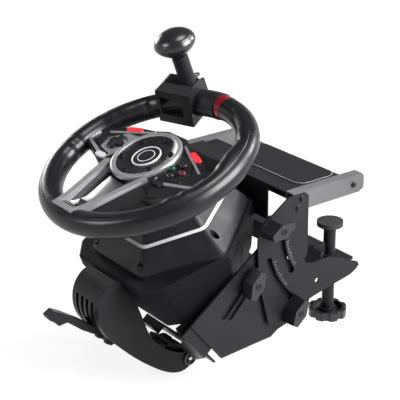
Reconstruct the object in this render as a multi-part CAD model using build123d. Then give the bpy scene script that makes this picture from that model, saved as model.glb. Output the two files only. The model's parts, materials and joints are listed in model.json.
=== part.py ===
from build123d import *
import math
import os

# Desk-mounted racing wheel, in millimetres, +Z up, +Y away from the driver, +X to the driver's right.
# The origin lies under the middle of the desk bracket, on the plane of the desk top.
# Wheel and base are drawn in the wheel's own frame: x to the right, y towards twelve o'clock and
# z along the shaft towards the driver. WHEEL_FRAME puts them into the part's frame.

# wheel
RIM_RADIUS = 124.7          # centre of the grip's tube
GRIP_RADIUS = 15.3          # the tube's own radius
BAND_WIDTH = 12.0           # marker band near twelve o'clock
BAND_ANGLE = 88.2
WHEEL_TILT = 20.0           # wheel plane above the horizontal, in degrees
WHEEL_CENTRE = (0, -170, 65)
WHEEL_FRAME = Location(WHEEL_CENTRE, (WHEEL_TILT, 0, 0))
FACE_LEVEL = 5.0            # front face of the hub
HUB_BACK = -10.0            # back face of the hub
BEZEL_OUTER = 46.0
BEZEL_INNER = 38.0
BADGE_RADIUS = 19.0
BOLT_CIRCLE = 33.5
BUTTON_RADIUS = 4.2
BUTTON_SPREAD = 10.5
POD_X = 63.5                # centre of the control cluster on each side
BUTTON_FLOOR = 0.0          # floor of the button pockets
RUNNING_GAP = 0.4
PILL_CENTRE = (63.0, 29.0)
PILL_ANGLE = -18.0
MENU_CENTRE = (61.0, -28.0)
PADDLE_HINGE_X = 44.0
PADDLE_LEVEL = -17.5        # middle of the paddle blades

# spinner knob
SPINNER_ANGLE = 22.6        # degrees from twelve o'clock towards the left
SPINNER_BLOCK = (50.0, 43.0, 55.0)
BLOCK_OFFSET = (-18.0, -1.5, 5.0)   # middle of the block from the grip's middle, before it leans
BLOCK_LEAN = 10.0
SLEEVE_RADIUS = 17.2
BEVEL_ANGLE = 33.0
PINCH_PLACE = (-6.0, 26.5)   # pinch screw, across and outwards from the clamp's middle
LUG_TOP = 16.5
STEM_RADIUS = 10.5
STEM_TOP = 71.0
KNOB_RADIUS = 27.0
KNOB_HALF_HEIGHT = 16.3

# base
SHAFT_RADIUS = 8.0
SHAFT_END = -150.0
RIDGE_LEVEL = -70.0
FLARE_LEVEL = -96.5
SPLIT_LEVEL = -102.0
LIP_LEVEL = -117.0
BASE_BOTTOM = -165.0
WALL = 3.0
SCREW_WELLS = ((47.5, -84), (-47.5, -84), (93, 2.5), (-93, 2.5))
WELL_RADIUS = 4.5
WELL_FLOOR = -90.0
BELT_LEVEL = -132.0
MOTOR_Y = 46.0
PULLEY_RADIUS = 9.0
WHEEL_PULLEY_RADIUS = 30.0
BELT_THICKNESS = 1.5

# base clamp
ARM_HALF_WIDTH = 29.5
CHEEK_GAP = 21.0            # half of the space between the arm's two cheeks
SEAT_ORIGIN = (-106.0, -117.0)   # front end of the base's underside, wheel frame y and z
SEAT_ANGLE = -71.6          # direction of the underside in the wheel frame's y-z plane
LEVER_PIVOT = (-142.0, -179.0)
PAD_PIVOT = (-59.3, -268.5)
PAD_TILT = 18.0             # the pad hangs at this angle to the base's underside
LEVER_PIN_RADIUS = 3.0

# desk bracket
SHEET = 2.5                 # steel sheet thickness
RAIL_OUTER = 117.3
RAIL_WIDTH = 14.0
RAIL_HEIGHT = 24.5
RAIL_FRONT = -38.0
RAIL_REAR = 80.0
TRAY_REAR = 50.0
TRAY_FRONT = -40.0
APRON_HEIGHT = 48.5
APRON_HALF_WIDTH = 70.0
TILT_PLATE_X = 112.3        # inner face of the tilting plates
MOUNT_FLANGE_X = 109.5      # inner face of the mounting plate's flanges
PIVOT = (-72.0, -8.0)       # tilt pivot, part frame y and z
ANGLE_BOLT = (-42.0, -128.0)
HEIGHT_BOLT = (-107.0, -72.0)
HEIGHT_BOLT_ON_BASE = (12.34, -150.28)   # the same bolt in the wheel frame's y-z plane
SLOT_DIRECTION = 225.5      # direction in which the height slots run down, in degrees
BOLT_RADIUS = 4.0
KNOB_DEPTH = 21.0
HEIGHT_COLLAR = 5.2         # lifts the height knobs clear of the side plates
SLOT_RADIUS = 4.4
TILT_RANGE = 15.0

# desk clamp
SCREW_X = 98.0
SCREW_Y = 42.0
SCREW_RADIUS = 8.0
DESK_UNDERSIDE = -38.5
HAND_KNOB_RADIUS = 25.0
HAND_KNOB_THICKNESS = 11.0
HAND_KNOB_TOP = -161.0

X_AXIS_TURN = (0, 90, 0)    # turns a cylinder's axis from Z to X
ON_FLOOR = (Align.CENTER, Align.CENTER, Align.MIN)
UNDER_FLOOR = (Align.CENTER, Align.CENTER, Align.MAX)


def polygon(points):
    """An outline whose face looks along +Z, whichever way round its points are listed."""
    doubled_area = sum(x0 * y1 - x1 * y0 for (x0, y0), (x1, y1) in zip(points, points[1:] + points[:1]))
    ordered = points if doubled_area > 0 else points[::-1]
    return Polygon(*ordered, align=None)


def plate_x(points, x_low, thickness):
    """A plate square to X, from points given as (y, z)."""
    return extrude(Plane.YZ.offset(x_low) * polygon(points), amount=thickness)


def rod_x(x_low, x_high, y, z, radius):
    """A round rod along X."""
    middle = Location(((x_low + x_high) / 2, y, z), X_AXIS_TURN)
    return middle * Cylinder(radius, x_high - x_low)


def slot_x(x_low, x_high, start, end, radius):
    """A round-ended bar along X that cuts a straight slot from start to end."""
    span = math.dist(start, end)
    angle = math.degrees(math.atan2(end[1] - start[1], end[0] - start[0]))
    middle = ((start[0] + end[0]) / 2, (start[1] + end[1]) / 2)
    outline = Plane.YZ.offset(x_low) * Pos(*middle) * Rot(0, 0, angle) * SlotCenterToCenter(span, 2 * radius)
    return extrude(outline, amount=x_high - x_low)


def arc_slot_x(x_low, x_high, centre, radius, start_angle, end_angle, half_width):
    """A bar along X that cuts a slot curved about centre."""
    line = CenterArc(centre, radius, start_angle, end_angle - start_angle)
    outline = Plane.YZ.offset(x_low) * SlotArc(line, 2 * half_width)
    return extrude(outline, amount=x_high - x_low)


def both_sides(right):
    return right, mirror(right, about=Plane.YZ)


def mirrored(points):
    """A closed outline from its right half, listed from front to back."""
    return points + [(-x, y) for x, y in reversed(points)]


def seat_point(along, above):
    """A point of the wheel frame's y-z plane, from its place along and above the base's underside."""
    a = math.radians(SEAT_ANGLE)
    y = SEAT_ORIGIN[0] + along * math.cos(a) - above * math.sin(a)
    z = SEAT_ORIGIN[1] + along * math.sin(a) + above * math.cos(a)
    return y, z


def seat_block(x_half, along, above):
    """A block symmetric in x, given by its spans along and above the base's underside."""
    corners = [(along[0], above[0]), (along[1], above[0]), (along[1], above[1]), (along[0], above[1])]
    return plate_x([seat_point(*c) for c in corners], -x_half, 2 * x_half)


# ---------------------------------------------------------------- wheel

def torus_piece(outer, inner, start, sweep):
    """Part of a ring's skin about the shaft, from start through sweep degrees."""
    section = Circle(outer) - Circle(inner) if inner else Circle(outer)
    placed = Plane.XZ * Pos(RIM_RADIUS, 0) * section
    return Rot(0, 0, start) * revolve(placed, Axis.Z, sweep)


def rim():
    return Torus(RIM_RADIUS, GRIP_RADIUS)


def rim_band():
    half = math.degrees(BAND_WIDTH / 2 / RIM_RADIUS)
    return torus_piece(GRIP_RADIUS + 0.4, GRIP_RADIUS, BAND_ANGLE - half, 2 * half)


def hub_outline():
    side = [(24, -113), (46, -40), (66, -34), (88, -24), (118, -16), (118, 11), (88, 24), (64, 36), (36, 42)]
    top = [(18, 50)]
    return polygon(mirrored(side + top))


def pocket(x, y, radius, floor):
    return Pos(x, y, floor) * Cylinder(radius, 30, align=ON_FLOOR)


def pill(centre, angle, length, width, low, high):
    outline = Pos(centre[0], centre[1], low) * Rot(0, 0, angle) * SlotOverall(length, width)
    return extrude(outline, amount=high - low)


def button_places():
    return [
        (POD_X - BUTTON_SPREAD, 0),
        (POD_X, BUTTON_SPREAD),
        (POD_X + BUTTON_SPREAD, 0),
        (POD_X, -BUTTON_SPREAD),
    ]


def hub_frame():
    body = extrude(Pos(0, 0, HUB_BACK) * hub_outline(), amount=FACE_LEVEL - HUB_BACK)
    body -= torus_piece(GRIP_RADIUS, 0, 0, 360)
    valley = polygon([(0, -40), (20, -44), (9, -96), (-9, -96), (-20, -44)])
    body -= extrude(Pos(0, 0, -4) * valley, amount=20)
    body -= pocket(-POD_X, 0, 14.5, 1.0)
    for x, y in button_places():
        body -= pocket(x, y, BUTTON_RADIUS + RUNNING_GAP, BUTTON_FLOOR)
    for side in (1, -1):
        pill_place = (side * PILL_CENTRE[0], PILL_CENTRE[1])
        menu_place = (side * MENU_CENTRE[0], MENU_CENTRE[1])
        body -= pill(pill_place, side * PILL_ANGLE, 25.8, 8.8, -3, 30)
        body -= pill(menu_place, 0, 18.8, 8.8, BUTTON_FLOOR, 30)
    body -= Cylinder(5.2, 60)
    return body


def bezel_ring():
    ring = Pos(0, 0, FACE_LEVEL) * Cone(BEZEL_OUTER, BEZEL_OUTER - 3, 5, align=ON_FLOOR)
    return ring - Cylinder(BEZEL_INNER, 60)


def hub_badge():
    disc = Pos(0, 0, FACE_LEVEL) * Cylinder(BADGE_RADIUS, 2.5, align=ON_FLOOR)
    return disc


def hub_bolts():
    head = Pos(0, 0, FACE_LEVEL) * Cylinder(3.4, 5, align=ON_FLOOR)
    socket = Pos(0, 0, FACE_LEVEL + 3) * extrude(RegularPolygon(2.0, 6), amount=5)
    bolt = head - socket
    places = [Rot(0, 0, 30 + 60 * i) * Pos(BOLT_CIRCLE, 0, 0) for i in range(6)]
    return Compound(children=[place * bolt for place in places])


def trim_bars():
    """Two bars on the lower spoke that rise from the hub's face and meet over the grip."""
    rise = plate_x([(-24, FACE_LEVEL), (-24, 8.5), (-105, 13), (-127, 17), (-127, FACE_LEVEL)], -60, 120)
    rise -= torus_piece(GRIP_RADIUS, 0, 0, 360)
    right_plan = polygon([(36, -27), (45, -31), (20, -127), (12.5, -127)])
    plan = right_plan + mirror(right_plan, about=Plane.YZ) + polygon(mirrored([(19, -127), (20.5, -119)]))
    return rise & extrude(plan, amount=30)


def dpad():
    base = Pos(-POD_X, 0, 2.4) * Cylinder(13.2, 2.0, align=ON_FLOOR)
    arms = RectangleRounded(24, 9, 3) + RectangleRounded(9, 24, 3)
    return base + extrude(Pos(-POD_X, 0, 4.0) * arms, amount=5.2)


def action_button(place):
    x, y = place
    button = Pos(x, y, BUTTON_FLOOR + 2) * Cylinder(BUTTON_RADIUS, 7, align=ON_FLOOR)
    return fillet(button.edges().group_by(Axis.Z)[-1], 1.2)


def pill_button(side):
    place = (side * PILL_CENTRE[0], PILL_CENTRE[1])
    return pill(place, side * PILL_ANGLE, 25, 8, -1, 7.5)


def menu_button(side):
    place = (side * MENU_CENTRE[0], MENU_CENTRE[1])
    return pill(place, 0, 18, 8, BUTTON_FLOOR + 2, 8)


def paddle(side):
    """A shift paddle: a blade behind the hub with a barrel on its hinge line."""
    outline = [(44, -15.5), (49, -15.5), (60, -26), (92, -22), (104, -6), (104, 10), (84, 24), (60, 26),
               (49, 15.5), (44, 15.5)]
    blade = extrude(Pos(0, 0, PADDLE_LEVEL - 1.5) * polygon(outline), amount=3)
    hinge = Location((PADDLE_HINGE_X, 0, PADDLE_LEVEL), (90, 0, 0))
    right = blade + hinge * Cylinder(3.5, 31) - hinge * Cylinder(1.55, 60)
    return right if side > 0 else mirror(right, about=Plane.YZ)


def wheel_shaft():
    """Shaft, hub flange and collar, with two ears that carry the paddles."""
    flange = Pos(0, 0, HUB_BACK - 3) * Cylinder(34, 3, align=ON_FLOOR)
    collar = Pos(0, 0, -42) * Cone(24, 32, 42 + HUB_BACK - 3, align=ON_FLOOR)
    collar += Pos(0, 0, -46) * Cylinder(24, 8)
    shaft = Pos(0, 0, SHAFT_END) * Cylinder(SHAFT_RADIUS, -45 - SHAFT_END, align=ON_FLOOR)
    ear = Pos(39.5, 0, HUB_BACK - 6) * Box(15, 44, 12) - Pos(46, 0, PADDLE_LEVEL) * Box(14, 33, 20)
    pin = Location((PADDLE_HINGE_X, 0, PADDLE_LEVEL), (90, 0, 0)) * Cylinder(1.5, 44)
    ears = both_sides(ear)
    pins = both_sides(pin)
    return flange + collar + shaft + ears[0] + ears[1] + pins[0] + pins[1]


# ---------------------------------------------------------------- spinner knob

def spinner_place():
    return Rot(0, 0, SPINNER_ANGLE) * Pos(0, RIM_RADIUS, 0)


def spinner_block():
    """Clamp block around the grip, with a window in its inner face and a lug for the pinch screw."""
    length, depth, height = SPINNER_BLOCK
    block = Box(length, depth, height)
    top_edges = block.edges().filter_by(Axis.X).group_by(Axis.Z)[-1].sort_by(Axis.Y)
    block = chamfer(top_edges[1], 12)
    block -= Pos(0, -depth / 2, height / 2) * Rot(BEVEL_ANGLE, 0, 0) * Box(2 * length, 60, 12)
    left, top = -length / 2, height / 2
    corner = polygon([(left - 1, top + 1), (left + 10, top + 1), (left - 1, top - 9)])
    block -= extrude(Plane.XZ * corner, amount=depth, both=True)
    block -= Pos(-3.7, -depth / 2, -2.2) * Box(32, 18, 26)
    block = Rot(0, BLOCK_LEAN, 0) * Pos(*BLOCK_OFFSET) * block
    lug = Pos(PINCH_PLACE[0], PINCH_PLACE[1] - 2, LUG_TOP) * Box(16, 14, 33, align=UNDER_FLOOR)
    bore = Pos(*PINCH_PLACE, 0) * Cylinder(2.55, 100)
    return block + lug - bore


def spinner_clamp():
    """The block, slit on its outer side so that it can close on the grip, with the knob's stem."""
    slit = Pos(0, 30, -4) * Box(200, 60, 0.8)
    stem = Pos(0, 0, STEM_TOP) * Cylinder(STEM_RADIUS, STEM_TOP - LUG_TOP, align=UNDER_FLOOR)
    pin = Pos(0, 0, STEM_TOP) * Cylinder(5, 20, align=ON_FLOOR)
    block = spinner_block() - slit + stem + pin
    sleeve = torus_piece(SLEEVE_RADIUS, 0, 91.5, 18)
    return spinner_place() * block + sleeve - torus_piece(GRIP_RADIUS, 0, 0, 360)


def spinner_knob():
    low = STEM_TOP + 0.5
    middle = low + KNOB_HALF_HEIGHT
    top = middle + KNOB_HALF_HEIGHT
    side = Spline((9, low), (KNOB_RADIUS, middle + 2), (0, top), tangents=[(1, 0.1), (-1, 0)])
    outline = make_face([Line((0, low), (9, low)), side, Line((0, top), (0, low))])
    body = revolve(Plane.XZ * outline, Axis.Z)
    bore = Pos(0, 0, low - 1) * Cylinder(5.06, 21.5, align=ON_FLOOR)
    return spinner_place() * (body - bore)


def pinch_screw():
    """Cap screw that draws the spinner's clamp together, on the far side of the grip."""
    head = Pos(*PINCH_PLACE, LUG_TOP + 0.3) * Cylinder(6, 7, align=ON_FLOOR)
    head -= Pos(*PINCH_PLACE, LUG_TOP + 4) * extrude(RegularPolygon(2.8, 6), amount=6)
    shank = Pos(*PINCH_PLACE, LUG_TOP + 1) * Cylinder(2.5, 34, align=UNDER_FLOOR)
    return spinner_place() * (head + shank)


# ---------------------------------------------------------------- base

def hexagon(front, side, back, corner):
    return fillet(polygon(mirrored([front, side, back])).vertices(), corner)


def tiers(levels):
    """Lofted shell blocks through outlines at several levels, joined end to end."""
    body = None
    for (z0, face0), (z1, face1) in zip(levels, levels[1:]):
        block = loft([Pos(0, 0, z0) * face0, Pos(0, 0, z1) * face1], ruled=True)
        body = block if body is None else body + block
    return body


def upper_outlines(inset):
    return [
        (SPLIT_LEVEL, hexagon((54 - inset, -90 + inset), (112 - inset, -3), (50 - inset, 88 - inset), 12)),
        (FLARE_LEVEL, hexagon((54 - inset, -90 + inset), (112 - inset, -3), (50 - inset, 88 - inset), 12)),
        (RIDGE_LEVEL, hexagon((47 - inset, -71 + inset), (88 - inset, -3), (46 - inset, 74 - inset), 12)),
        (RIDGE_LEVEL + 2, hexagon((44 - inset, -66 + inset), (82 - inset, -3), (44 - inset, 70 - inset), 10)),
        (-48, hexagon((36 - inset, -54 + inset), (70 - inset, -3), (38 - inset, 60 - inset), 10)),
    ]


def upper_housing():
    """Upper shell with four screw wells and the hole for the wheel's collar."""
    solid = tiers(upper_outlines(0))
    inner = upper_outlines(WALL + 1)
    inner[0] = (SPLIT_LEVEL - 1, inner[0][1])
    inner[-1] = (-48 - WALL, inner[-1][1])
    shell = solid - tiers(inner)
    for x, y in SCREW_WELLS:
        shell += solid & (Pos(x, y, -78) * Cylinder(WELL_RADIUS + 2, 40))
    for x, y in SCREW_WELLS:
        shell -= Pos(x, y, WELL_FLOOR) * Cylinder(WELL_RADIUS, 60, align=ON_FLOOR)
    return shell - Cylinder(25.5, 400)


def lower_outlines(inset):
    def outline(front, chamfer_point, side, back, corner):
        moved = [
            (front[0] - inset, front[1] + inset),
            (chamfer_point[0] - inset, chamfer_point[1] + inset),
            (side[0] - inset, side[1]),
            (back[0] - inset, back[1] - inset),
        ]
        return fillet(polygon(mirrored(moved)).vertices(), corner)

    return [
        (SPLIT_LEVEL, outline((64, -104), (88, -83), (111, 0), (52, 90), 6)),
        (SPLIT_LEVEL - 2, outline((66, -106), (90, -85), (113, 0), (53, 91), 6)),
        (LIP_LEVEL, outline((66, -106), (90, -85), (111, 0), (53, 90), 6)),
        (BASE_BOTTOM, outline((74, -90), (91, -74), (99, 0), (48, 72), 6)),
    ]


def lower_housing():
    shell = tiers(lower_outlines(0))
    inner = lower_outlines(WALL + 1)[1:]
    inner[0] = (SPLIT_LEVEL - WALL, inner[0][1])
    inner[-1] = (BASE_BOTTOM + WALL, inner[-1][1])
    shell -= tiers(inner)
    opening = hexagon((46, -80), (100, -3), (42, 78), 12)
    shell -= extrude(Pos(0, 0, SPLIT_LEVEL - 10) * opening, amount=20)
    leg = plate_x([(-87, BASE_BOTTOM), seat_point(58, 0), seat_point(95, 0), (-22, BASE_BOTTOM)], 86, 7)
    for piece in both_sides(leg):
        shell += piece
    for x in (-50, 50):
        for y in (-35, 35):
            shell += Pos(x, y, -160.6) * Cylinder(3, 3.6)
    return shell - Pos(0, 78, -140) * Box(51, 40, 15)


def shaft_bearings():
    def bearing(z):
        ring = Pos(0, 0, z) * Cylinder(17, 8)
        return ring - Cylinder(SHAFT_RADIUS + 0.05, 400)

    return Compound(children=[bearing(-62), bearing(-112)])


def bearing_carrier():
    """Tube and plate between the housings that hold both bearings and the motor."""
    tube = Pos(0, 0, -86) * Cylinder(21, 68)
    plate = extrude(Pos(0, 0, SPLIT_LEVEL) * hexagon((48, -82), (104, -3), (44, 80), 12), amount=4)
    return tube + plate - Cylinder(17, 400) - Pos(0, MOTOR_Y, 0) * Cylinder(15, 400)


def motor():
    case = Pos(0, MOTOR_Y, -92) * Cylinder(15, 40)
    axle = Pos(0, MOTOR_Y, -126) * Cylinder(2.5, 28)
    return case + axle


def belt_pulley(radius, bore, y):
    wheel = Pos(0, y, BELT_LEVEL) * Cylinder(radius, 12) + Pos(0, y, BELT_LEVEL + 7) * Cylinder(radius + 2.5, 2)
    wheel += Pos(0, y, BELT_LEVEL - 7) * Cylinder(radius + 2.5, 2)
    return wheel - Pos(0, y, 0) * Cylinder(bore, 400)


def drive_belt():
    def loop(extra):
        big = Circle(WHEEL_PULLEY_RADIUS + extra)
        small = Pos(0, MOTOR_Y) * Circle(PULLEY_RADIUS + extra)
        return make_hull((big + small).edges())

    gap = 0.3
    ring = loop(gap + BELT_THICKNESS) - loop(gap)
    return extrude(Pos(0, 0, BELT_LEVEL - 5) * ring, amount=10)


def circuit_board():
    board = Pos(0, 0, -158) * Box(120, 90, 1.6)
    chips = [Pos(x, y, -155.7) * Box(12, 12, 3) for x, y in ((-30, 20), (25, -15), (40, 25))]
    for chip in chips:
        board += chip
    return board


def port_block():
    """Rear sockets for the mains adapter, pedals and computer."""
    block = Pos(0, 73.5, -140) * Box(51, 19, 15)
    for x, width, height in ((-17, 12, 5), (0, 12, 9), (16, 9, 9)):
        block -= Pos(x, 80, -140) * Box(width, 14, height)
    return block


def housing_screws():
    heads = [Pos(x, y, WELL_FLOOR + 1.5) * Cylinder(3.4, 3) for x, y in SCREW_WELLS]
    return Compound(children=heads)


def clamp_arm():
    """C-shaped arm of the base's own clamp, with two cheeks at its far end."""
    outer = Spline(
        (-122, -97), (-141, -108), (-153, -138), (-143, -180), (-111, -243), (-70, -280), (-50, -272),
    )
    inner = Polyline((-50, -272), (-55, -258), (-66, -254))
    back = Spline((-66, -254), (-86, -231), (-96, -208), (-98.5, -180), (-98.5, -139.5))
    close = Polyline((-98.5, -139.5), (-106, LIP_LEVEL), (-106, -104), (-112, -97), (-122, -97))
    section = make_face([*outer.edges(), *inner.edges(), *back.edges(), *close.edges()])
    arm = extrude(Plane.YZ.offset(-ARM_HALF_WIDTH) * section, amount=2 * ARM_HALF_WIDTH)
    arm -= plate_x([seat_point(118, 60), seat_point(118, -30), seat_point(230, -30), seat_point(230, 60)],
                   -CHEEK_GAP, 2 * CHEEK_GAP)
    for i in range(4):
        arm -= Pos(-18 + 11 * i, -150, -135) * Box(5.5, 14, 44)
    boss = rod_x(-ARM_HALF_WIDTH - 1.5, -CHEEK_GAP, *PAD_PIVOT, 10)
    for piece in both_sides(boss):
        arm += piece
    arm += rod_x(-CHEEK_GAP - 1, CHEEK_GAP + 1, *PAD_PIVOT, 4)
    lug = plate_x([(-130, -163), (-147, -171), (-149.5, -180), (-144, -187), (-126, -188)], 7, 6)
    for piece in both_sides(lug):
        arm += piece
    arm -= plate_x([(-141, -138), (-175, -138), (-175, -195), (-130, -195), (-133, -165)], -7, 14)
    arm -= rod_x(-20, 20, *LEVER_PIVOT, LEVER_PIN_RADIUS + 0.06)
    return arm


def clamp_lever():
    """Quick-release lever with a hooked tip, turning on a pin between the arm's lugs."""
    y, z = LEVER_PIVOT
    pin = rod_x(-13, 13, y, z, LEVER_PIN_RADIUS)
    hub = rod_x(-6.5, 6.5, y, z, 5)
    blade = plate_x(
        [(-144, -184), (-152, -167), (-168, -145), (-181, -122), (-188, -120), (-192.5, -119), (-194, -113),
         (-200, -104), (-200, -98.5), (-190, -97), (-180, -109), (-163, -134), (-147, -160), (-139, -176)],
        -6.5, 13)
    return blade + hub + pin


def jaw_pad():
    """Pressure pad that the lever lifts against the mounting plate."""
    pad = seat_block(20, (122, 167), (0, 4.5)) + seat_block(12, (150, 166), (-9.5, 1))
    tilted = pad.rotate(Axis((0, *PAD_PIVOT), (1, 0, 0)), PAD_TILT)
    return tilted - rod_x(-30, 30, *PAD_PIVOT, 4.06)


def mount_plate():
    """Plate that the base is clamped to, with a flange on each side and an open middle."""
    plan = [(112, 58), (112, 96), (62, 138), (62, 140), (-62, 140), (-62, 138), (-112, 96), (-112, 58)]
    window = [(98, 50), (84, 76), (40, 120), (-40, 120), (-84, 76), (-98, 50)]
    seat = Location((0, *SEAT_ORIGIN), (SEAT_ANGLE, 0, 0))
    web = extrude(seat * (polygon(plan) - polygon(window)), amount=-SHEET)
    web += seat_block(62, (136, 140), (-SHEET, 12))
    web -= seat_block(24, (110, 150), (-10, 9.2))
    web += seat_block(62, (136, 167), (9.2, 12))
    flange_points = [seat_point(45, -SHEET), seat_point(96, -SHEET), (26, -168), (26, -132), (2, -132)]
    flange = plate_x(flange_points, MOUNT_FLANGE_X, SHEET)
    flange -= rod_x(MOUNT_FLANGE_X - 1, MOUNT_FLANGE_X + 4, *HEIGHT_BOLT_ON_BASE, BOLT_RADIUS + 0.05)
    for piece in both_sides(flange):
        web += piece
    return web


# ---------------------------------------------------------------- desk bracket

def tray():
    """Tray on the desk: a sheet with a front apron and a rounded opening on the left."""
    inner = RAIL_OUTER - RAIL_WIDTH
    top = RAIL_HEIGHT
    sheet = Pos(0, (TRAY_FRONT + TRAY_REAR) / 2, top - SHEET / 2) * Box(2 * inner, TRAY_REAR - TRAY_FRONT, SHEET)
    apron = Pos(0, TRAY_FRONT + SHEET / 2, top - APRON_HEIGHT / 2) * Box(2 * APRON_HALF_WIDTH, SHEET, APRON_HEIGHT)
    opening = Pos(-82, 34, 0) * extrude(RectangleRounded(50, 88, 12), amount=100)
    panel = extrude(Pos(26, 18, top) * RectangleRounded(150, 62, 14), amount=0.8)
    return sheet + apron + panel - opening


def rail(side):
    outer = [(RAIL_FRONT, 0), (RAIL_FRONT, RAIL_HEIGHT), (RAIL_REAR - 4, RAIL_HEIGHT), (RAIL_REAR, RAIL_HEIGHT - 4),
             (RAIL_REAR, 4), (RAIL_REAR - 8, 0)]
    bar = plate_x(outer, RAIL_OUTER - RAIL_WIDTH, RAIL_WIDTH)
    core = plate_x([(RAIL_FRONT - 1, 2), (RAIL_FRONT - 1, RAIL_HEIGHT - 2), (RAIL_REAR - 3, RAIL_HEIGHT - 2),
                    (RAIL_REAR - 3, 2)], RAIL_OUTER - RAIL_WIDTH + 2, RAIL_WIDTH - 4)
    right = bar - core
    return right if side > 0 else mirror(right, about=Plane.YZ)


def side_plate(side):
    """Upright plate that drops past the desk's edge, with an arm that reaches under the desk."""
    outline = [
        (-47, 23), (-20, 23), (-15, 18), (-15, -60), (-20, -66), (-18, -72), (-8, -76), (10, -76), (22, -76),
        (72, -97), (75, -102), (70, -107), (60, -112), (10, -121), (-28, -129), (-60, -147), (-77, -141),
        (-84, -112), (-91, -84), (-94, -57), (-95, -34), (-94, -12), (-88, -4),
    ]
    plate = plate_x(outline, RAIL_OUTER, SHEET)
    low, high = RAIL_OUTER - 1, RAIL_OUTER + SHEET + 1
    plate -= arc_slot_x(low, high, (44, -20), 101.5, 186.0, 213.0, SLOT_RADIUS)
    plate -= arc_slot_x(low, high, (44, -20), 126.0, 195.0, 227.0, SLOT_RADIUS)
    plate -= rod_x(low, high, *PIVOT, BOLT_RADIUS + 0.05)
    plate -= rod_x(low, high, *ANGLE_BOLT, BOLT_RADIUS + 0.05)
    plate -= rod_x(low, high, 2, -103, 3.2)
    return plate if side > 0 else mirror(plate, about=Plane.YZ)


def front_beam():
    width = 2 * (RAIL_OUTER - RAIL_WIDTH)
    return Pos(0, 0, 11) * (Box(width, 30, 22) - Box(width + 2, 26, 18))


def clamp_bridge():
    """Channel under the desk that joins both arms and carries the clamp screws."""
    web = Pos(0, 38, -91) * Box(2 * RAIL_OUTER, 56, 4)
    wall = Pos(0, 12, -80) * Box(2 * RAIL_OUTER, 4, 26)
    body = web + wall
    ear = Pos(RAIL_OUTER - 18, 22, -79) * Box(3, 20, 28)
    boss = Pos(SCREW_X, SCREW_Y, -90) * Cylinder(13, 14)
    hole = Pos(SCREW_X, SCREW_Y, -90) * Cylinder(SCREW_RADIUS + 0.05, 60)
    for side in (0, 1):
        body += both_sides(ear)[side]
        body += both_sides(boss)[side]
    for side in (0, 1):
        body -= both_sides(hole)[side]
    return body


def bracket_screws():
    places = [(62, 12, RAIL_OUTER), (-26.5, 17, RAIL_OUTER + SHEET), (-32.5, 6, RAIL_OUTER + SHEET)]
    heads = []
    for y, z, x in places:
        head = Pos(x, y, z) * Rot(0, 90, 0) * Cone(4.2, 2.6, 2.4, align=ON_FLOOR)
        heads += both_sides(head)
    return Compound(children=heads)


def tilt_plate(side):
    """Plate that carries the wheel and tilts about the pivot bolt, inside the side plate."""
    outline = [
        (-193, -107), (-148, -165.5), (-96, -163), (-69, -162), (-58, -155), (-27, -148), (-6, -132), (-1, -112),
        (-14, -92), (-44, -60),
        (-46, -18), (-56, 0), (-70, 4), (-82, -4), (-88, -14), (-89, -33),
    ]
    plate = plate_x(outline, TILT_PLATE_X, SHEET)
    low, high = TILT_PLATE_X - 1, TILT_PLATE_X + SHEET + 1
    plate -= rod_x(low, high, *PIVOT, BOLT_RADIUS + 0.05)
    radius = math.dist(PIVOT, ANGLE_BOLT)
    angle = math.degrees(math.atan2(ANGLE_BOLT[1] - PIVOT[1], ANGLE_BOLT[0] - PIVOT[0]))
    plate -= arc_slot_x(low, high, PIVOT, radius, angle - 1, angle + TILT_RANGE + 1, SLOT_RADIUS)
    a = math.radians(SLOT_DIRECTION)
    for start, length in (((-97.2, -62.0), 66.0), ((-109.0, -87.5), 36.0)):
        end = (start[0] + length * math.cos(a), start[1] + length * math.sin(a))
        plate -= slot_x(low, high, start, end, SLOT_RADIUS)
    return plate if side > 0 else mirror(plate, about=Plane.YZ)


def cradle_bar():
    """Tube that ties both tilting plates together behind the base."""
    tube = rod_x(-TILT_PLATE_X, TILT_PLATE_X, -36, -148, 6)
    return tube - rod_x(-TILT_PLATE_X - 1, TILT_PLATE_X + 1, -36, -148, 4.5)


def bolt_knob(side, centre, angle, inner_end, head_start, collar=0.0):
    """Faceted clamping knob on a bolt that runs inwards to inner_end; a collar sets its head further out."""
    outline = polygon([(-19, -5), (0, -11.5), (19, -5), (19, 5), (0, 11.5), (-19, 5)])
    foot = head_start + 0.4
    placed = Plane.YZ.offset(foot + collar) * Pos(*centre) * Rot(0, 0, angle) * outline
    head = extrude(placed, amount=KNOB_DEPTH - collar, taper=4)
    if collar:
        head += rod_x(foot, foot + collar + 1, *centre, 9)
    right = head + rod_x(inner_end, foot + collar + 2, *centre, BOLT_RADIUS)
    return right if side > 0 else mirror(right, about=Plane.YZ)


def desk_pad(side):
    disc = Pos(SCREW_X, SCREW_Y, DESK_UNDERSIDE - 6) * Cylinder(17, 6, align=ON_FLOOR)
    right = disc - Pos(SCREW_X, SCREW_Y, DESK_UNDERSIDE - 6) * Cylinder(SCREW_RADIUS + 0.05, 6)
    return right if side > 0 else mirror(right, about=Plane.YZ)


def desk_screw(side):
    top = DESK_UNDERSIDE - 3.1
    right = Pos(SCREW_X, SCREW_Y, HAND_KNOB_TOP - 12) * Cylinder(
        SCREW_RADIUS, top - HAND_KNOB_TOP + 12, align=ON_FLOOR)
    return right if side > 0 else mirror(right, about=Plane.YZ)


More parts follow.
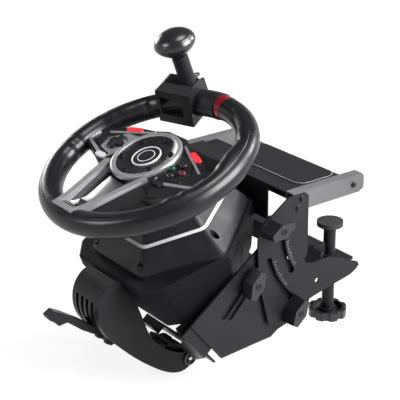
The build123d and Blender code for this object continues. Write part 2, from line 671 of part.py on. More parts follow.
def desk_knob(side):
    """Hand knob with eight shallow grips and a hollow top."""
    disc = Cylinder(HAND_KNOB_RADIUS, HAND_KNOB_THICKNESS, align=UNDER_FLOOR)
    for i in range(8):
        disc -= Rot(0, 0, 45 * i) * Pos(HAND_KNOB_RADIUS + 3, 0, 0) * Cylinder(6, 40)
    dish = Cylinder(19, 5, align=UNDER_FLOOR)
    hub = Cylinder(11, 5, align=UNDER_FLOOR)
    disc = disc - (dish - hub) - Cylinder(SCREW_RADIUS, 60)
    right = Pos(SCREW_X, SCREW_Y, HAND_KNOB_TOP) * disc
    return right if side > 0 else mirror(right, about=Plane.YZ)


# ---------------------------------------------------------------- writing the pieces

def wheel_pieces():
    names = ("button_left", "button_top", "button_right", "button_bottom")
    pieces = {name: action_button(place) for name, place in zip(names, button_places())}
    pieces.update({
        "rim": rim(),
        "rim_band": rim_band(),
        "hub_frame": hub_frame(),
        "bezel_ring": bezel_ring(),
        "hub_badge": hub_badge(),
        "hub_bolts": hub_bolts(),
        "trim_bars": trim_bars(),
        "dpad": dpad(),
        "wheel_shaft": wheel_shaft(),
        "driven_pulley": belt_pulley(WHEEL_PULLEY_RADIUS, SHAFT_RADIUS, 0),
        "spinner_clamp": spinner_clamp(),
        "spinner_knob": spinner_knob(),
        "pinch_screw": pinch_screw(),
    })
    for side, word in ((1, "right"), (-1, "left")):
        pieces[f"red_button_{word}"] = pill_button(side)
        pieces[f"menu_button_{word}"] = menu_button(side)
        pieces[f"paddle_{word}"] = paddle(side)
    return pieces


def base_pieces():
    return {
        "upper_housing": upper_housing(),
        "lower_housing": lower_housing(),
        "bearing_carrier": bearing_carrier(),
        "shaft_bearings": shaft_bearings(),
        "motor": motor(),
        "motor_pulley": belt_pulley(PULLEY_RADIUS, 2.55, MOTOR_Y),
        "drive_belt": drive_belt(),
        "circuit_board": circuit_board(),
        "port_block": port_block(),
        "housing_screws": housing_screws(),
        "clamp_arm": clamp_arm(),
        "clamp_lever": clamp_lever(),
        "jaw_pad": jaw_pad(),
        "mount_plate": mount_plate(),
    }


def bracket_pieces():
    pieces = {
        "tray": tray(),
        "front_beam": front_beam(),
        "clamp_bridge": clamp_bridge(),
        "bracket_screws": bracket_screws(),
        "cradle_bar": cradle_bar(),
    }
    for side, word in ((1, "right"), (-1, "left")):
        pieces[f"rail_{word}"] = rail(side)
        pieces[f"side_plate_{word}"] = side_plate(side)
        pieces[f"tilt_plate_{word}"] = tilt_plate(side)
        pieces[f"pivot_knob_{word}"] = bolt_knob(side, PIVOT, 16, TILT_PLATE_X - 2, RAIL_OUTER + SHEET)
        pieces[f"angle_knob_{word}"] = bolt_knob(side, ANGLE_BOLT, 58, TILT_PLATE_X - 2, RAIL_OUTER + SHEET)
        pieces[f"height_knob_{word}"] = bolt_knob(
            side, HEIGHT_BOLT, 64, MOUNT_FLANGE_X - 2, TILT_PLATE_X + SHEET, HEIGHT_COLLAR)
        pieces[f"desk_pad_{word}"] = desk_pad(side)
        pieces[f"desk_screw_{word}"] = desk_screw(side)
        pieces[f"desk_knob_{word}"] = desk_knob(side)
    return pieces


def main():
    os.makedirs("parts", exist_ok=True)
    placed = {name: WHEEL_FRAME * shape for name, shape in {**wheel_pieces(), **base_pieces()}.items()}
    placed.update(bracket_pieces())
    for name, shape in placed.items():
        export_step(shape, os.path.join("parts", f"{name}.step"))


main()
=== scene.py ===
import json
import math

import bmesh
import bpy
from mathutils import Matrix, Vector


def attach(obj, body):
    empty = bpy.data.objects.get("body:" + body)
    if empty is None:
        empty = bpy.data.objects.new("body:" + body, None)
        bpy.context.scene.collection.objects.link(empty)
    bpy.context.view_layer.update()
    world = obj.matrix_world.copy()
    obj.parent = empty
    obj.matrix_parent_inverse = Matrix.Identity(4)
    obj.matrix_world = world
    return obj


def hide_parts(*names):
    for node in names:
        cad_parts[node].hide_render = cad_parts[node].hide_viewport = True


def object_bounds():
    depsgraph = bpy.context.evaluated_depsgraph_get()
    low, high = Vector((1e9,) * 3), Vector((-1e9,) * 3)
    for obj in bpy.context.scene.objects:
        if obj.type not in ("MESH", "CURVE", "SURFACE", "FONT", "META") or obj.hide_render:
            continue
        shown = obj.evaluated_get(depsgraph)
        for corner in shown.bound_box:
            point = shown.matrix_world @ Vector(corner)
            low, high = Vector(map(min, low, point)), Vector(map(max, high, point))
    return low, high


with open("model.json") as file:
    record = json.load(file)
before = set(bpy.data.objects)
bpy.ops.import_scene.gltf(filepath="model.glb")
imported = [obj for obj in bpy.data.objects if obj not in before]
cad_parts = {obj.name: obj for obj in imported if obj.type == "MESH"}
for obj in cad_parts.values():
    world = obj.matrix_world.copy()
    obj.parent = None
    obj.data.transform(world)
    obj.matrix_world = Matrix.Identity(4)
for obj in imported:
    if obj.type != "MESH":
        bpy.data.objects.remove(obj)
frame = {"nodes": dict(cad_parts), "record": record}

cad_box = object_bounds()

MM = 0.001
TILT = math.radians(20)
# The wheel's own frame: x to the driver's right, y towards twelve o'clock, z along the shaft.
WHEEL = Matrix.Translation(Vector((0, -170, 65)) * MM) @ Matrix.Rotation(TILT, 4, "X")


# ---------------------------------------------------------------- camera, lights and floor

# The camera's axes, its place in metres, and its lens and sensor in millimetres.
CAMERA_RIGHT = Vector((0.60301, 0.79766, -0.01045))
CAMERA_UP = Vector((-0.30274, 0.24094, 0.92212))
CAMERA_BACK = Vector((0.73806, -0.55288, 0.38677))
CAMERA_PLACE = Vector((1.19917, -0.99020, 0.62106))
CAMERA_LENS = 115.4
CAMERA_SENSOR = 36

# Each light's name, place, width and height, and power; metres and watts.
LIGHTS = (
    ("key", (1.84, 1.0, 1.35), (1.9, 1.5), 240),
    ("front", (-0.65, -2.2, 1.4), (0.9, 0.9), 36),
    ("left", (-2.4, 0.0, 0.5), (0.8, 0.9), 22),
    ("top", (0.2, 0.1, 2.3), (0.9, 0.9), 30),
    ("rear", (0.37, 2.0, 1.1), (0.6, 0.6), 36),
)
LIGHTS_AIM = (0, -0.13, 0.0)

# Greys of the surroundings, each with where its fade starts or ends: the sine of the angle
# above the horizon.
HORIZON = (0.95, 0.19)
SKY = (0.07, 0.27)

FLOOR_REACH = 12.0          # metres from the middle to each side
FLOOR_GAP = 0.002           # metres below the lowest CAD point
FLOOR_GREY = 0.17
FLOOR_GLOW = 0.82           # the floor's own light, which keeps it white as far as the horizon


def add_camera():
    data = bpy.data.cameras.new("camera")
    data.sensor_width = CAMERA_SENSOR
    data.lens = CAMERA_LENS
    data.clip_end = 30
    camera = bpy.data.objects.new("camera", data)
    turn = Matrix((CAMERA_RIGHT, CAMERA_UP, CAMERA_BACK)).transposed().to_4x4()
    camera.matrix_world = Matrix.Translation(CAMERA_PLACE) @ turn
    bpy.context.collection.objects.link(camera)
    bpy.context.scene.camera = camera


def add_area_light(name, place, size, watts):
    data = bpy.data.lights.new(name, "AREA")
    data.shape = "RECTANGLE"
    data.size, data.size_y = size
    data.energy = watts
    light = bpy.data.objects.new(name, data)
    aim = (Vector(LIGHTS_AIM) - Vector(place)).to_track_quat("-Z", "Y")
    light.matrix_world = Matrix.Translation(place) @ aim.to_matrix().to_4x4()
    bpy.context.collection.objects.link(light)


def add_lights():
    """One large soft light from the right, with smaller ones all round and above."""
    for light in LIGHTS:
        add_area_light(*light)
    bpy.context.scene.view_settings.view_transform = "Standard"
    bpy.context.scene.view_settings.look = "None"


def add_surroundings():
    """A dark studio with a pale band at the horizon, so that black surfaces stay black."""
    world = bpy.data.worlds.new("studio")
    world.use_nodes = True
    nodes, links = world.node_tree.nodes, world.node_tree.links
    split = nodes.new("ShaderNodeSeparateXYZ")
    links.new(nodes.new("ShaderNodeTexCoord").outputs["Generated"], split.inputs["Vector"])
    ramp = nodes.new("ShaderNodeValToRGB")
    for element, (grey, height) in zip(ramp.color_ramp.elements, (HORIZON, SKY)):
        element.position = height
        element.color = (grey, grey, grey, 1)
    links.new(split.outputs["Z"], ramp.inputs["Fac"])
    links.new(ramp.outputs["Color"], nodes["Background"].inputs["Color"])
    bpy.context.scene.world = world


def add_floor():
    """A wide white floor, partly lit from within, just under the part."""
    mesh = bpy.data.meshes.new("floor")
    level = cad_box[0][2] - FLOOR_GAP
    ways = ((-1, -1), (1, -1), (1, 1), (-1, 1))
    corners = [(x * FLOOR_REACH, y * FLOOR_REACH, level) for x, y in ways]
    mesh.from_pydata(corners, [], [(0, 1, 2, 3)])
    floor = bpy.data.objects.new("floor", mesh)
    bpy.context.collection.objects.link(floor)
    paint = bpy.data.materials.new("floor_paint")
    paint.use_nodes = True
    shader = paint.node_tree.nodes["Principled BSDF"]
    shader.inputs["Base Color"].default_value = (FLOOR_GREY, FLOOR_GREY, FLOOR_GREY, 1)
    shader.inputs["Roughness"].default_value = 0.8
    shader.inputs["Specular IOR Level"].default_value = 0.1
    shader.inputs["Emission Color"].default_value = (1, 1, 1, 1)
    shader.inputs["Emission Strength"].default_value = FLOOR_GLOW
    mesh.materials.append(paint)


# ---------------------------------------------------------------- materials

NOISE_LOW, NOISE_HIGH = 0.3, 0.7    # the span that most noise values fall in
SHARP_ANGLE = math.radians(35)      # edges sharper than this are shaded as edges
BEVEL_ANGLE = math.radians(30)      # edges sharper than this are rounded


class Paint:
    """A Principled material with a few noise layers built on object coordinates."""

    def __init__(self, name, colour, roughness, metallic=0.0, specular=0.5):
        self.material = bpy.data.materials.new(name)
        self.material.use_nodes = True
        self.nodes = self.material.node_tree.nodes
        self.links = self.material.node_tree.links
        self.shader = self.nodes["Principled BSDF"]
        self.shader.inputs["Base Color"].default_value = (*colour, 1)
        self.shader.inputs["Roughness"].default_value = roughness
        self.shader.inputs["Metallic"].default_value = metallic
        self.shader.inputs["Specular IOR Level"].default_value = specular
        self.place = self.nodes.new("ShaderNodeTexCoord").outputs["Object"]
        self.colour = colour
        self.height = None

    def noise(self, scale, detail=3.0, stretch=None):
        """Noise with about scale cells to the metre; stretch scales each axis."""
        texture = self.nodes.new("ShaderNodeTexNoise")
        texture.inputs["Scale"].default_value = scale
        texture.inputs["Detail"].default_value = detail
        place = self.place
        if stretch:
            mapping = self.nodes.new("ShaderNodeMapping")
            mapping.inputs["Scale"].default_value = stretch
            self.links.new(place, mapping.inputs["Vector"])
            place = mapping.outputs["Vector"]
        self.links.new(place, texture.inputs["Vector"])
        return texture.outputs["Fac"]

    def cells(self, scale):
        texture = self.nodes.new("ShaderNodeTexVoronoi")
        texture.inputs["Scale"].default_value = scale
        self.links.new(self.place, texture.inputs["Vector"])
        return texture.outputs["Distance"]

    def remap(self, value, low, high):
        node = self.nodes.new("ShaderNodeMapRange")
        node.inputs["From Min"].default_value = NOISE_LOW
        node.inputs["From Max"].default_value = NOISE_HIGH
        node.inputs["To Min"].default_value = low
        node.inputs["To Max"].default_value = high
        self.links.new(value, node.inputs["Value"])
        return node.outputs["Result"]

    def vary_roughness(self, value, low, high):
        self.links.new(self.remap(value, low, high), self.shader.inputs["Roughness"])

    def vary_colour(self, value, darker, lighter):
        ramp = self.nodes.new("ShaderNodeValToRGB")
        ramp.color_ramp.elements[0].position = NOISE_LOW
        ramp.color_ramp.elements[0].color = (*(c * darker for c in self.colour), 1)
        ramp.color_ramp.elements[1].position = NOISE_HIGH
        ramp.color_ramp.elements[1].color = (*(min(1, c * lighter) for c in self.colour), 1)
        self.links.new(value, ramp.inputs["Fac"])
        self.links.new(ramp.outputs["Color"], self.shader.inputs["Base Color"])

    def bump(self, value, strength, distance):
        node = self.nodes.new("ShaderNodeBump")
        node.inputs["Strength"].default_value = strength
        node.inputs["Distance"].default_value = distance
        self.links.new(value, node.inputs["Height"])
        if self.height:
            self.links.new(self.height, node.inputs["Normal"])
        self.height = node.outputs["Normal"]
        self.links.new(self.height, self.shader.inputs["Normal"])


def moulded(name, colour, roughness, specular=0.18):
    """Injection-moulded plastic with a fine spark texture and faint handling marks."""
    paint = Paint(name, colour, roughness, specular=specular)
    paint.vary_colour(paint.noise(18), 0.85, 1.2)
    paint.vary_roughness(paint.noise(60, 5), roughness * 0.85, roughness * 1.2)
    paint.bump(paint.noise(1800, 2), 0.35, 0.00012)
    return paint.material


def polished(name, colour, roughness):
    """Glossy plastic with slow waves and light handling wear in its shine."""
    paint = Paint(name, colour, roughness)
    paint.vary_colour(paint.noise(25), 0.9, 1.15)
    paint.vary_roughness(paint.noise(40, 3), roughness * 0.96, roughness * 1.06)
    paint.bump(paint.noise(60, 1), 0.04, 0.0001)
    return paint.material


def silvered(name, colour, roughness):
    """Satin metallic paint on plastic: fine flake in its colour and soft wear in its shine."""
    paint = Paint(name, colour, roughness, metallic=0.75)
    paint.vary_colour(paint.noise(2400, 2), 0.88, 1.1)
    paint.vary_roughness(paint.noise(80, 5), roughness * 0.85, roughness * 1.25)
    paint.bump(paint.noise(1600, 2), 0.12, 0.00005)
    return paint.material


def rubber(name, colour, roughness):
    """Soft-touch rubber with a pebbled skin."""
    paint = Paint(name, colour, roughness, specular=0.3)
    paint.vary_colour(paint.noise(22), 0.8, 1.25)
    paint.vary_roughness(paint.noise(70, 4), roughness * 0.9, min(1, roughness * 1.12))
    paint.bump(paint.cells(1500), 0.2, 0.0001)
    return paint.material


def powder_coat(name, colour, roughness):
    """Powder-coated steel with orange peel and fine speckle."""
    paint = Paint(name, colour, roughness, specular=0.2)
    paint.vary_colour(paint.noise(12), 0.85, 1.2)
    paint.vary_roughness(paint.noise(45, 4), roughness * 0.8, roughness * 1.25)
    paint.bump(paint.noise(700, 3), 0.3, 0.00015)
    paint.bump(paint.noise(2600, 1), 0.2, 0.00006)
    return paint.material


def machined(name, colour, roughness, stretch=(1, 1, 12)):
    """Bare or plated metal with a directional brushed grain."""
    paint = Paint(name, colour, roughness, metallic=1.0)
    paint.vary_colour(paint.noise(30), 0.85, 1.1)
    grain = paint.noise(400, 4, stretch)
    paint.vary_roughness(grain, roughness * 0.7, roughness * 1.4)
    paint.bump(grain, 0.12, 0.00008)
    return paint.material


def slot_materials():
    return {
        "grip_rubber": rubber("grip_rubber", (0.005, 0.005, 0.006), 0.3),
        "red_rubber": rubber("red_rubber", (0.13, 0.001, 0.006), 0.34),
        "black_plastic": moulded("black_plastic", (0.007, 0.007, 0.008), 0.4),
        "gloss_black": polished("gloss_black", (0.008, 0.008, 0.009), 0.27),
        "silver_plastic": silvered("silver_plastic", (0.34, 0.34, 0.35), 0.34),
        "grey_plastic": moulded("grey_plastic", (0.4, 0.4, 0.41), 0.4, specular=0.5),
        "red_plastic": polished("red_plastic", (0.56, 0.02, 0.028), 0.3),
        "button_green": polished("button_green", (0.01, 0.034, 0.02), 0.24),
        "button_red": polished("button_red", (0.075, 0.008, 0.012), 0.24),
        "black_steel": powder_coat("black_steel", (0.006, 0.006, 0.007), 0.42),
        "grey_steel": powder_coat("grey_steel", (0.07, 0.07, 0.072), 0.38),
        "steel": machined("steel", (0.5, 0.5, 0.51), 0.35),
        "zinc": machined("zinc", (0.6, 0.6, 0.6), 0.28),
        "brushed_aluminium": machined("brushed_aluminium", (0.6, 0.6, 0.62), 0.35, (1, 14, 1)),
        "knob_plastic": polished("knob_plastic", (0.006, 0.006, 0.007), 0.33),
        "pad_rubber": rubber("pad_rubber", (0.015, 0.015, 0.015), 0.6),
        "bronze": machined("bronze", (0.45, 0.3, 0.16), 0.45),
        "board_green": moulded("board_green", (0.015, 0.1, 0.04), 0.4),
    }


def paint_nodes(materials):
    """Gives each CAD node its slot's material, but for two buttons and the lower housing."""
    slots = {part["node"]: part["material_slot"] for part in frame["record"]["subparts"]}
    # The record gives green to the top button, but it belongs on the left one.
    slots["button_left"], slots["button_top"] = slots["button_top"], slots["button_left"]
    for name, node in frame["nodes"].items():
        node.data.materials.clear()
        node.data.materials.append(materials[slots[name]])
    housing = frame["nodes"]["lower_housing"].data
    housing.materials.clear()
    matte = moulded("matte_black", (0.005, 0.005, 0.006), 0.55, specular=0.06)
    housing.materials.append(matte)


def soften_edges(node, width):
    """A small bevel on the hard edges of a CAD node, so that they catch the light."""
    bevel = node.modifiers.new("edge", "BEVEL")
    bevel.width = width
    bevel.segments = 2
    bevel.limit_method = "ANGLE"
    bevel.angle_limit = BEVEL_ANGLE
    bevel.harden_normals = False


# ---------------------------------------------------------------- mesh helpers

def add_piece(name, mesh, body, slot, *replaced):
    """An object that rides on a body, with its slot's material and smooth shading."""
    piece = bpy.data.objects.new(name, mesh)
    bpy.context.collection.objects.link(piece)
    mesh.materials.clear()
    mesh.materials.append(MATERIALS[slot])
    mesh.shade_smooth()
    mesh.set_sharp_from_angle(angle=SHARP_ANGLE)
    if replaced:
        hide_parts(*replaced)
    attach(piece, body)
    return piece


def mesh_from(name, points, faces, place):
    """A mesh from millimetre points, turned outwards and put in place."""
    mesh = bpy.data.meshes.new(name)
    mesh.from_pydata([place @ (Vector(p) * MM) for p in points], [], faces)
    work = bmesh.new()
    work.from_mesh(mesh)
    bmesh.ops.recalc_face_normals(work, faces=work.faces)
    work.to_mesh(mesh)
    work.free()
    return mesh


def lathe(name, profile, place, steps=96):
    """A closed profile of (radius, height) points turned about the z axis."""
    points = []
    for i in range(steps):
        turn = 2 * math.pi * i / steps
        points += [(r * math.cos(turn), r * math.sin(turn), z) for r, z in profile]
    count = len(profile)
    faces = []
    for i in range(steps):
        here, beyond = i * count, ((i + 1) % steps) * count
        for j in range(count):
            k = (j + 1) % count
            faces.append((here + j, here + k, beyond + k, beyond + j))
    return merged(mesh_from(name, points, faces, place))


def merged(mesh):
    """Joins points that fall together, such as those on a lathe's axis."""
    work = bmesh.new()
    work.from_mesh(mesh)
    bmesh.ops.remove_doubles(work, verts=work.verts, dist=1e-6)
    bmesh.ops.dissolve_degenerate(work, edges=work.edges, dist=1e-7)
    bmesh.ops.recalc_face_normals(work, faces=work.faces)
    work.to_mesh(mesh)
    work.free()
    return mesh


def plate(name, outlines, low, high, place, edge=0.25):
    """A flat plate with rounded edges; outlines after the first are holes in it."""
    curve = bpy.data.curves.new(name, "CURVE")
    curve.dimensions = "2D"
    curve.fill_mode = "BOTH"
    curve.extrude = ((high - low) / 2 - edge) * MM
    curve.bevel_depth = edge * MM
    curve.bevel_resolution = 2
    curve.offset = -edge * MM
    for outline in outlines:
        spline = curve.splines.new("POLY")
        spline.points.add(len(outline) - 1)
        for point, (x, y) in zip(spline.points, outline):
            point.co = (x * MM, y * MM, 0, 1)
        spline.use_cyclic_u = True
    shaped = bpy.data.objects.new(name, curve)
    mesh = bpy.data.meshes.new_from_object(shaped)
    bpy.data.objects.remove(shaped)
    bpy.data.curves.remove(curve)
    mesh.transform(place @ Matrix.Translation((0, 0, (low + high) / 2 * MM)))
    return merged(mesh)


def circle(x, y, radius, steps=40):
    turns = [2 * math.pi * i / steps for i in range(steps)]
    return [(x + radius * math.cos(t), y + radius * math.sin(t)) for t in turns]


def rounded(corners, radius, steps=6):
    """The outline through corners, with each corner replaced by an arc."""
    outline = []
    for i, corner in enumerate(corners):
        here = Vector(corner)
        before = (Vector(corners[i - 1]) - here).normalized()
        after = (Vector(corners[(i + 1) % len(corners)]) - here).normalized()
        half = before.angle(after) / 2
        reach = radius / math.tan(half)
        centre = here + (before + after).normalized() * (radius / math.sin(half))
        start, end = here + before * reach - centre, here + after * reach - centre
        for k in range(steps + 1):
            way = start.slerp(end, k / steps)
            outline.append(tuple(centre + way * radius))
    return outline


def bar(near, far, across):
    """The corners of a straight bar from near to far; across is half its width."""
    return [tuple(near - across), tuple(far - across), tuple(far + across), tuple(near + across)]


def mirrored(points):
    return [(-x, y) for x, y in reversed(points)]


BAND_REACH = 60     # about how far a band lies from the shaft


def band(name, low_outline, low, high_outline, high, thickness, place):
    """A strip between two matching closed outlines at two levels, thickened inwards."""
    count = len(low_outline)
    outer = [(*p, low) for p in low_outline] + [(*p, high) for p in high_outline]
    shrink = 1 - thickness / BAND_REACH
    inner = [(x * shrink, y * shrink, z - thickness) for x, y, z in outer]
    faces = []
    for i in range(count):
        j = (i + 1) % count
        faces.append((i, j, count + j, count + i))
        faces.append((2 * count + i, 3 * count + i, 3 * count + j, 2 * count + j))
        faces.append((i, 2 * count + i, 2 * count + j, j))
        faces.append((count + i, count + j, 3 * count + j, 3 * count + i))
    return mesh_from(name, outer + inner, faces, place)


# ---------------------------------------------------------------- wheel

RIM_RADIUS = 124.7      # of the circle through the middle of the grip
GRIP_RADIUS = 15.3
FACE = 5.0              # front of the control pods, above the rim's plane
POD_X = 63.5            # middle of each control cluster
SEAM = 62               # degrees round the grip from its outermost line

# Swells and dips on the grip's inner side: degrees from six o'clock, height, and width in degrees.
THUMB_RESTS = ((113, 3.8, 9), (129, -2.6, 3.5), (104, 1.4, 3), (76, 2.4, 3.2), (67, 2.4, 3.2))

SPINNER_TURN = Matrix.Rotation(math.radians(22.6), 4, "Z")
SPINNER = WHEEL @ SPINNER_TURN @ Matrix.Translation((0, RIM_RADIUS * MM, 0))


def grip_radius(around, across):
    """The grip's radius: swells at the thumb rests and dips at the moulded seam; degrees."""
    radius = GRIP_RADIUS
    side = abs((around - 90) % 360 - 180)     # 0 at six o'clock, 180 at twelve
    inward = max(0.0, math.cos(math.radians(across - 145)))
    for centre, amount, width in THUMB_RESTS:
        radius += amount * inward ** 2 * math.exp(-((side - centre) / width) ** 2)
    away = (across - SEAM + 180) % 360 - 180
    seam_depth, seam_width = 0.55, 1.6
    return radius - seam_depth * math.exp(-(away / seam_width) ** 2)


def add_rim():
    """The grip as one closed ring, with extra lines of points beside its seam."""
    around_steps = 288
    beside_seam = [SEAM + away for away in (-3.5, -1.0, 0.0, 1.0, 3.0)]
    across_angles = sorted([i * 6.0 for i in range(60)] + beside_seam)
    points, faces = [], []
    for i in range(around_steps):
        around = 360 * i / around_steps
        for across in across_angles:
            radius = grip_radius(around, across)
            out = RIM_RADIUS + radius * math.cos(math.radians(across))
            up = radius * math.sin(math.radians(across))
            turn = math.radians(around)
            points.append((out * math.cos(turn), out * math.sin(turn), up))
    count = len(across_angles)
    for i in range(around_steps):
        k = (i + 1) % around_steps
        for j in range(count):
            m = (j + 1) % count
            faces.append((i * count + j, k * count + j, k * count + m, i * count + m))
    mesh = mesh_from("rim_grip", points, faces, WHEEL)
    add_piece("rim_grip", mesh, "wheel", "grip_rubber", "rim")


def add_pods():
    """Faceplates, glossy insets and bright strips on both control pods; the right face is black."""
    face = [(-84, 3), (-79, -15), (-49, -22), (-46, -6), (-49, 12), (-44, 23), (-66, 20)]
    inset = [(-108, 4), (-105, -11), (-82, -14), (-87, 4), (-78, 15)]
    strip = [(-112, 8), (-117, -9), (-116, -12), (-59, -31), (-51, -27), (-48, -20), (-52, -23),
             (-59, -26), (-107, -11), (-107, 5)]
    brow = [(-31, 40), (-31, 36.5), (-92, 9), (-95, 11)]
    # Clears the direction pad; on the right its edge runs through the four action buttons.
    hole = circle(-POD_X, 0, 13.8)
    for name, outlines, low, high, slot in (
        ("pod_face", [face, hole], FACE, FACE + 0.9, "silver_plastic"),
        ("pod_inset", [inset], FACE, FACE + 0.7, "gloss_black"),
        ("pod_strip", [strip], FACE, FACE + 2.2, "silver_plastic"),
        ("pod_brow", [brow], FACE, FACE + 1.8, "silver_plastic"),
    ):
        right_slot = "gloss_black" if name == "pod_face" else slot
        mesh = plate(name + "_left", outlines, low, high, WHEEL)
        add_piece(name + "_left", mesh, "wheel", slot)
        mesh = plate(name + "_right", [mirrored(line) for line in outlines], low, high, WHEEL)
        add_piece(name + "_right", mesh, "wheel", right_slot)
    floor = plate("dpad_floor", [circle(-POD_X, 0, 13.0)], 4.4, 4.8, WHEEL, 0.1)
    add_piece("dpad_floor", floor, "dpad_rocker", "silver_plastic")


def add_spoke_panel():
    """Dished panel between the two bars of the lower spoke, rising with them to the grip; its
    silver colour is a painted reflection on what is smooth black plastic.
    """
    rows, columns = 30, 16
    top_y, length = -45, 66
    half_at_top, narrowing = 18.5, 12.9
    level, thickness = -3.9, 0.8
    rise, dish_depth, crown = 12.0, 4.6, 0.6
    points, faces = [], []
    for side in (0, 1):
        for i in range(rows + 1):
            along = i / rows
            half = half_at_top - narrowing * along
            lift = rise * max(0.0, 2 * along - 1) ** 2
            for j in range(columns + 1):
                across = 2 * j / columns - 1
                dish = dish_depth * across ** 2 + crown * math.sin(math.pi * along)
                height = level + lift + dish - thickness * side
                points.append((half * across, top_y - length * along, height))
    width = columns + 1
    top = (rows + 1) * width
    for i in range(rows):
        for j in range(columns):
            a = i * width + j
            faces.append((a, a + 1, a + width + 1, a + width))
            faces.append((top + a, top + a + width, top + a + width + 1, top + a + 1))
    border = [j for j in range(columns)] + [i * width + columns for i in range(rows)]
    border += [rows * width + j for j in range(columns, 0, -1)]
    border += [i * width for i in range(rows, 0, -1)]
    for a, b in zip(border, border[1:] + border[:1]):
        faces.append((a, b, top + b, top + a))
    mesh = mesh_from("spoke_panel", points, faces, WHEEL)
    # Silver here paints the pale reflection in the dish; the panel itself is black plastic.
    add_piece("spoke_panel", mesh, "wheel", "silver_plastic")


def add_hub_centre():
    """Dished bezel with a raised lip, and the plain round badge with its ring and line."""
    bezel = [(38.2, 5), (38.2, 8.7), (36, 7.6), (31, 6.2), (25, 5.6), (19.2, 5.5), (19.2, 5)]
    add_piece("bezel", lathe("bezel", bezel, WHEEL, 128), "wheel", "gloss_black", "bezel_ring")
    lip = [(46, 5), (46, 7.4), (45.2, 9.2), (43.6, 10), (41.6, 10), (39.6, 9.4), (38.4, 8.8),
           (38.4, 5)]
    add_piece("bezel_lip", lathe("bezel_lip", lip, WHEEL, 128), "wheel", "silver_plastic")
    disc = [(0, 5), (17.3, 5), (17.3, 6.8), (12, 7.2), (6, 7.4), (0, 7.5)]
    add_piece("badge_disc", lathe("badge_disc", disc, WHEEL), "wheel", "gloss_black", "hub_badge")
    ring = [(17.3, 5), (19, 5), (19, 7.1), (18.6, 7.5), (17.7, 7.5), (17.3, 7.1)]
    add_piece("badge_ring", lathe("badge_ring", ring, WHEEL), "wheel", "grey_plastic")
    mark = [(10.4, 6.9), (11.4, 6.9), (11.4, 7.35), (10.4, 7.45)]
    add_piece("badge_line", lathe("badge_line", mark, WHEEL), "wheel", "grey_plastic")


def add_spinner_knob():
    """Knob with a conical underside, a seam at its widest part and a domed cap."""
    low = 71.5      # its foot, above the rim's plane
    bore = [(5.06, low + 20), (5.06, low)]
    side = [(9, low), (11, low + 1), (16, low + 4.4), (21, low + 8.6), (25, low + 13),
            (26.8, low + 17), (26.6, low + 20), (25, low + 23.4), (24, low + 24.7),
            (23.5, low + 24.7), (23.2, low + 25.4), (20.5, low + 28), (15.5, low + 30.9),
            (9, low + 32.4), (0, low + 32.7)]
    profile = [(0, low + 20), *bore, *side]
    mesh = lathe("spinner_grip", profile, SPINNER)
    add_piece("spinner_grip", mesh, "spinner", "gloss_black", "spinner_knob")


# ---------------------------------------------------------------- base and bracket

SIDE_PLATE_FACE = 119.8     # outer face of each side plate
TILT_PLATE_FACE = 114.8     # outer face of each tilting plate
TRAY_TOP = 25.3
KNOB_GAP = 0.4              # between a plate and the foot of its knob
KNOB_DEPTH = 21

# Where each pair of clamping knobs stands: the plate's outer face, then y and z.
KNOB_PLACES = {
    "pivot_knob": (SIDE_PLATE_FACE, -72, -8),
    "angle_knob": (SIDE_PLATE_FACE, -42, -128),
    "height_knob": (TILT_PLATE_FACE, -107, -72),
}

# The curved slots in the side plates: radius about their centre, then first and last degree.
SLOT_CENTRE = Vector((44, -20))
SLOTS = ((101.5, 189, 211), (126.0, 198, 219))

# Bevel widths of the CAD nodes whose names start so.
BEVELS = {
    "clamp_arm": 1.2, "clamp_lever": 1.0, "spinner_clamp": 0.9, "upper_housing": 1.4,
    "lower_housing": 1.4, "hub_frame": 0.8, "trim_bars": 0.5, "tray": 0.5, "side_plate": 0.5,
    "tilt_plate": 0.5, "mount_plate": 0.5, "rail": 0.7, "desk_knob": 0.9, "pivot_knob": 1.0,
    "angle_knob": 1.0, "height_knob": 1.0, "clamp_bridge": 0.6, "paddle": 0.6, "dpad": 0.6,
    "desk_pad": 0.6, "red_button": 1.2, "menu_button": 1.2, "rim_band": 0.15, "jaw_pad": 0.6,
    "front_beam": 0.6,
}

def add_ridge_highlight():
    """Bright band along the upper housing's ridge: a painted highlight where the glossy bevel
    catches the light.
    """
    low = [(46.9, -70.8), (87.7, -3), (46.0, 74.1)]
    high = [(44.3, -67.0), (83.3, -3), (44.1, 71.1)]
    low_line = rounded(low + mirrored(low), 12)
    high_line = rounded(high + mirrored(high), 10)
    mesh = band("ridge_highlight_band", low_line, -69.6, high_line, -67.7, 0.8, WHEEL)
    # The grey plastic of this band is a painted highlight on the ridge's bevel.
    add_piece("ridge_highlight_band", mesh, "base", "grey_plastic")


def add_pivot_discs():
    """Spoked end caps of the pressure pad's pin."""
    spokes = []
    for k in range(4):
        turn = math.radians(45 + 90 * k)
        along = Vector((math.cos(turn), math.sin(turn)))
        across = Vector((-math.sin(turn), math.cos(turn)))
        spokes.append(bar(along * 2.6, along * 8.0, across))
    for side, word in ((1, "right"), (-1, "left")):
        face = Matrix(((0, 0, side, 0), (side, 0, 0, 0), (0, 1, 0, 0), (0, 0, 0, 1)))
        pin_end = Vector((31.0 * side, -59.3, -268.5)) * MM
        place = WHEEL @ Matrix.Translation(pin_end) @ face
        ring = plate(f"pivot_ring_{word}", [circle(0, 0, 9.6), circle(0, 0, 7.6)], 0, 1.2, place)
        add_piece(f"pivot_ring_{word}", ring, "base", "grey_steel")
        for k, spoke in enumerate(spokes):
            mesh = plate(f"pivot_spoke_{word}_{k}", [spoke], 0, 1.0, place, 0.2)
            add_piece(f"pivot_spoke_{word}_{k}", mesh, "base", "grey_steel")
        cap = [(0, 0), (2.6, 0), (2.6, 1.2), (2.0, 1.7), (0, 1.8)]
        add_piece(f"pivot_cap_{word}", lathe(f"pivot_cap_{word}", cap, place, 32), "base", "zinc")


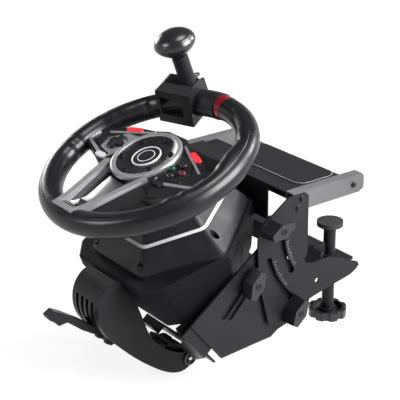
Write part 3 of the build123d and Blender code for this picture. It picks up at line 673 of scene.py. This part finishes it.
def side_face(side, x):
    """A place on a plate facing sideways: its x runs along Y and its y along Z."""
    turn = Matrix(((0, 0, side, 0), (1, 0, 0, 0), (0, 1, 0, 0), (0, 0, 0, 1)))
    return Matrix.Translation((side * x * MM, 0, 0)) @ turn


def add_degree_marks():
    """Generic degree marks beside the curved slots in each side plate."""
    spacing = 2.2
    from_slot, half_width = 6.4, 0.24
    long_mark, short_mark = 4.4, 2.8
    for side, word in ((1, "right"), (-1, "left")):
        place = side_face(side, SIDE_PLATE_FACE)
        for slot, (radius, start, end) in enumerate(SLOTS):
            for k in range(int((end - start) / spacing) + 1):
                turn = math.radians(start + spacing * k)
                reach = long_mark if k % 5 == 0 else short_mark
                along = Vector((math.cos(turn), math.sin(turn)))
                across = Vector((-math.sin(turn), math.cos(turn))) * half_width
                far = SLOT_CENTRE + along * (radius - from_slot)
                name = f"degree_mark_{word}_{slot}_{k}"
                mesh = plate(name, [bar(far - along * reach, far, across)], 0, 0.16, place, 0.04)
                add_piece(name, mesh, "desk_bracket", "silver_plastic")


def add_bolt_ends():
    """Round bolt ends in the clamping knobs, standing 0.4 mm proud of their outer faces."""
    profile = [(0, -0.4), (4.9, -0.4), (4.9, 0.2), (4.6, 0.4), (3.3, 0.4), (3.0, 0.1), (0, 0.1)]
    for name, (x, y, z) in KNOB_PLACES.items():
        for side, word in ((1, "right"), (-1, "left")):
            knob_end = side_face(side, x + KNOB_GAP + KNOB_DEPTH)
            place = knob_end @ Matrix.Translation((y * MM, z * MM, 0))
            mesh = lathe(f"{name}_end_{word}", profile, place, 40)
            add_piece(f"{name}_end_{word}", mesh, f"{name}_{word}_bolt", "black_steel")


def add_tray_edge_highlight():
    """Thin pale outline around the tray's raised panel: a painted highlight along the panel's edge.
    """
    outer = rounded([(-49, -13), (101, -13), (101, 49), (-49, 49)], 14)
    inner = rounded([(-48.6, -12.6), (100.6, -12.6), (100.6, 48.6), (-48.6, 48.6)], 13.6)
    place = Matrix.Translation((0, 0, TRAY_TOP * MM))
    mesh = plate("tray_edge_highlight", [outer, inner], 0, 0.2, place, 0.05)
    # The grey plastic of this outline is a painted highlight on the panel's edge.
    add_piece("tray_edge_highlight", mesh, "desk_bracket", "grey_plastic")


def soften_all():
    """Rounds the hard edges of the CAD pieces named in BEVELS."""
    for name, node in frame["nodes"].items():
        for start, width in BEVELS.items():
            if name.startswith(start):
                soften_edges(node, width * MM)


add_camera()
add_lights()
add_surroundings()
add_floor()
MATERIALS = slot_materials()
paint_nodes(MATERIALS)
add_rim()
add_pods()
add_spoke_panel()
add_hub_centre()
add_spinner_knob()
add_ridge_highlight()
add_pivot_discs()
add_degree_marks()
add_bolt_ends()
add_tray_edge_highlight()
soften_all()
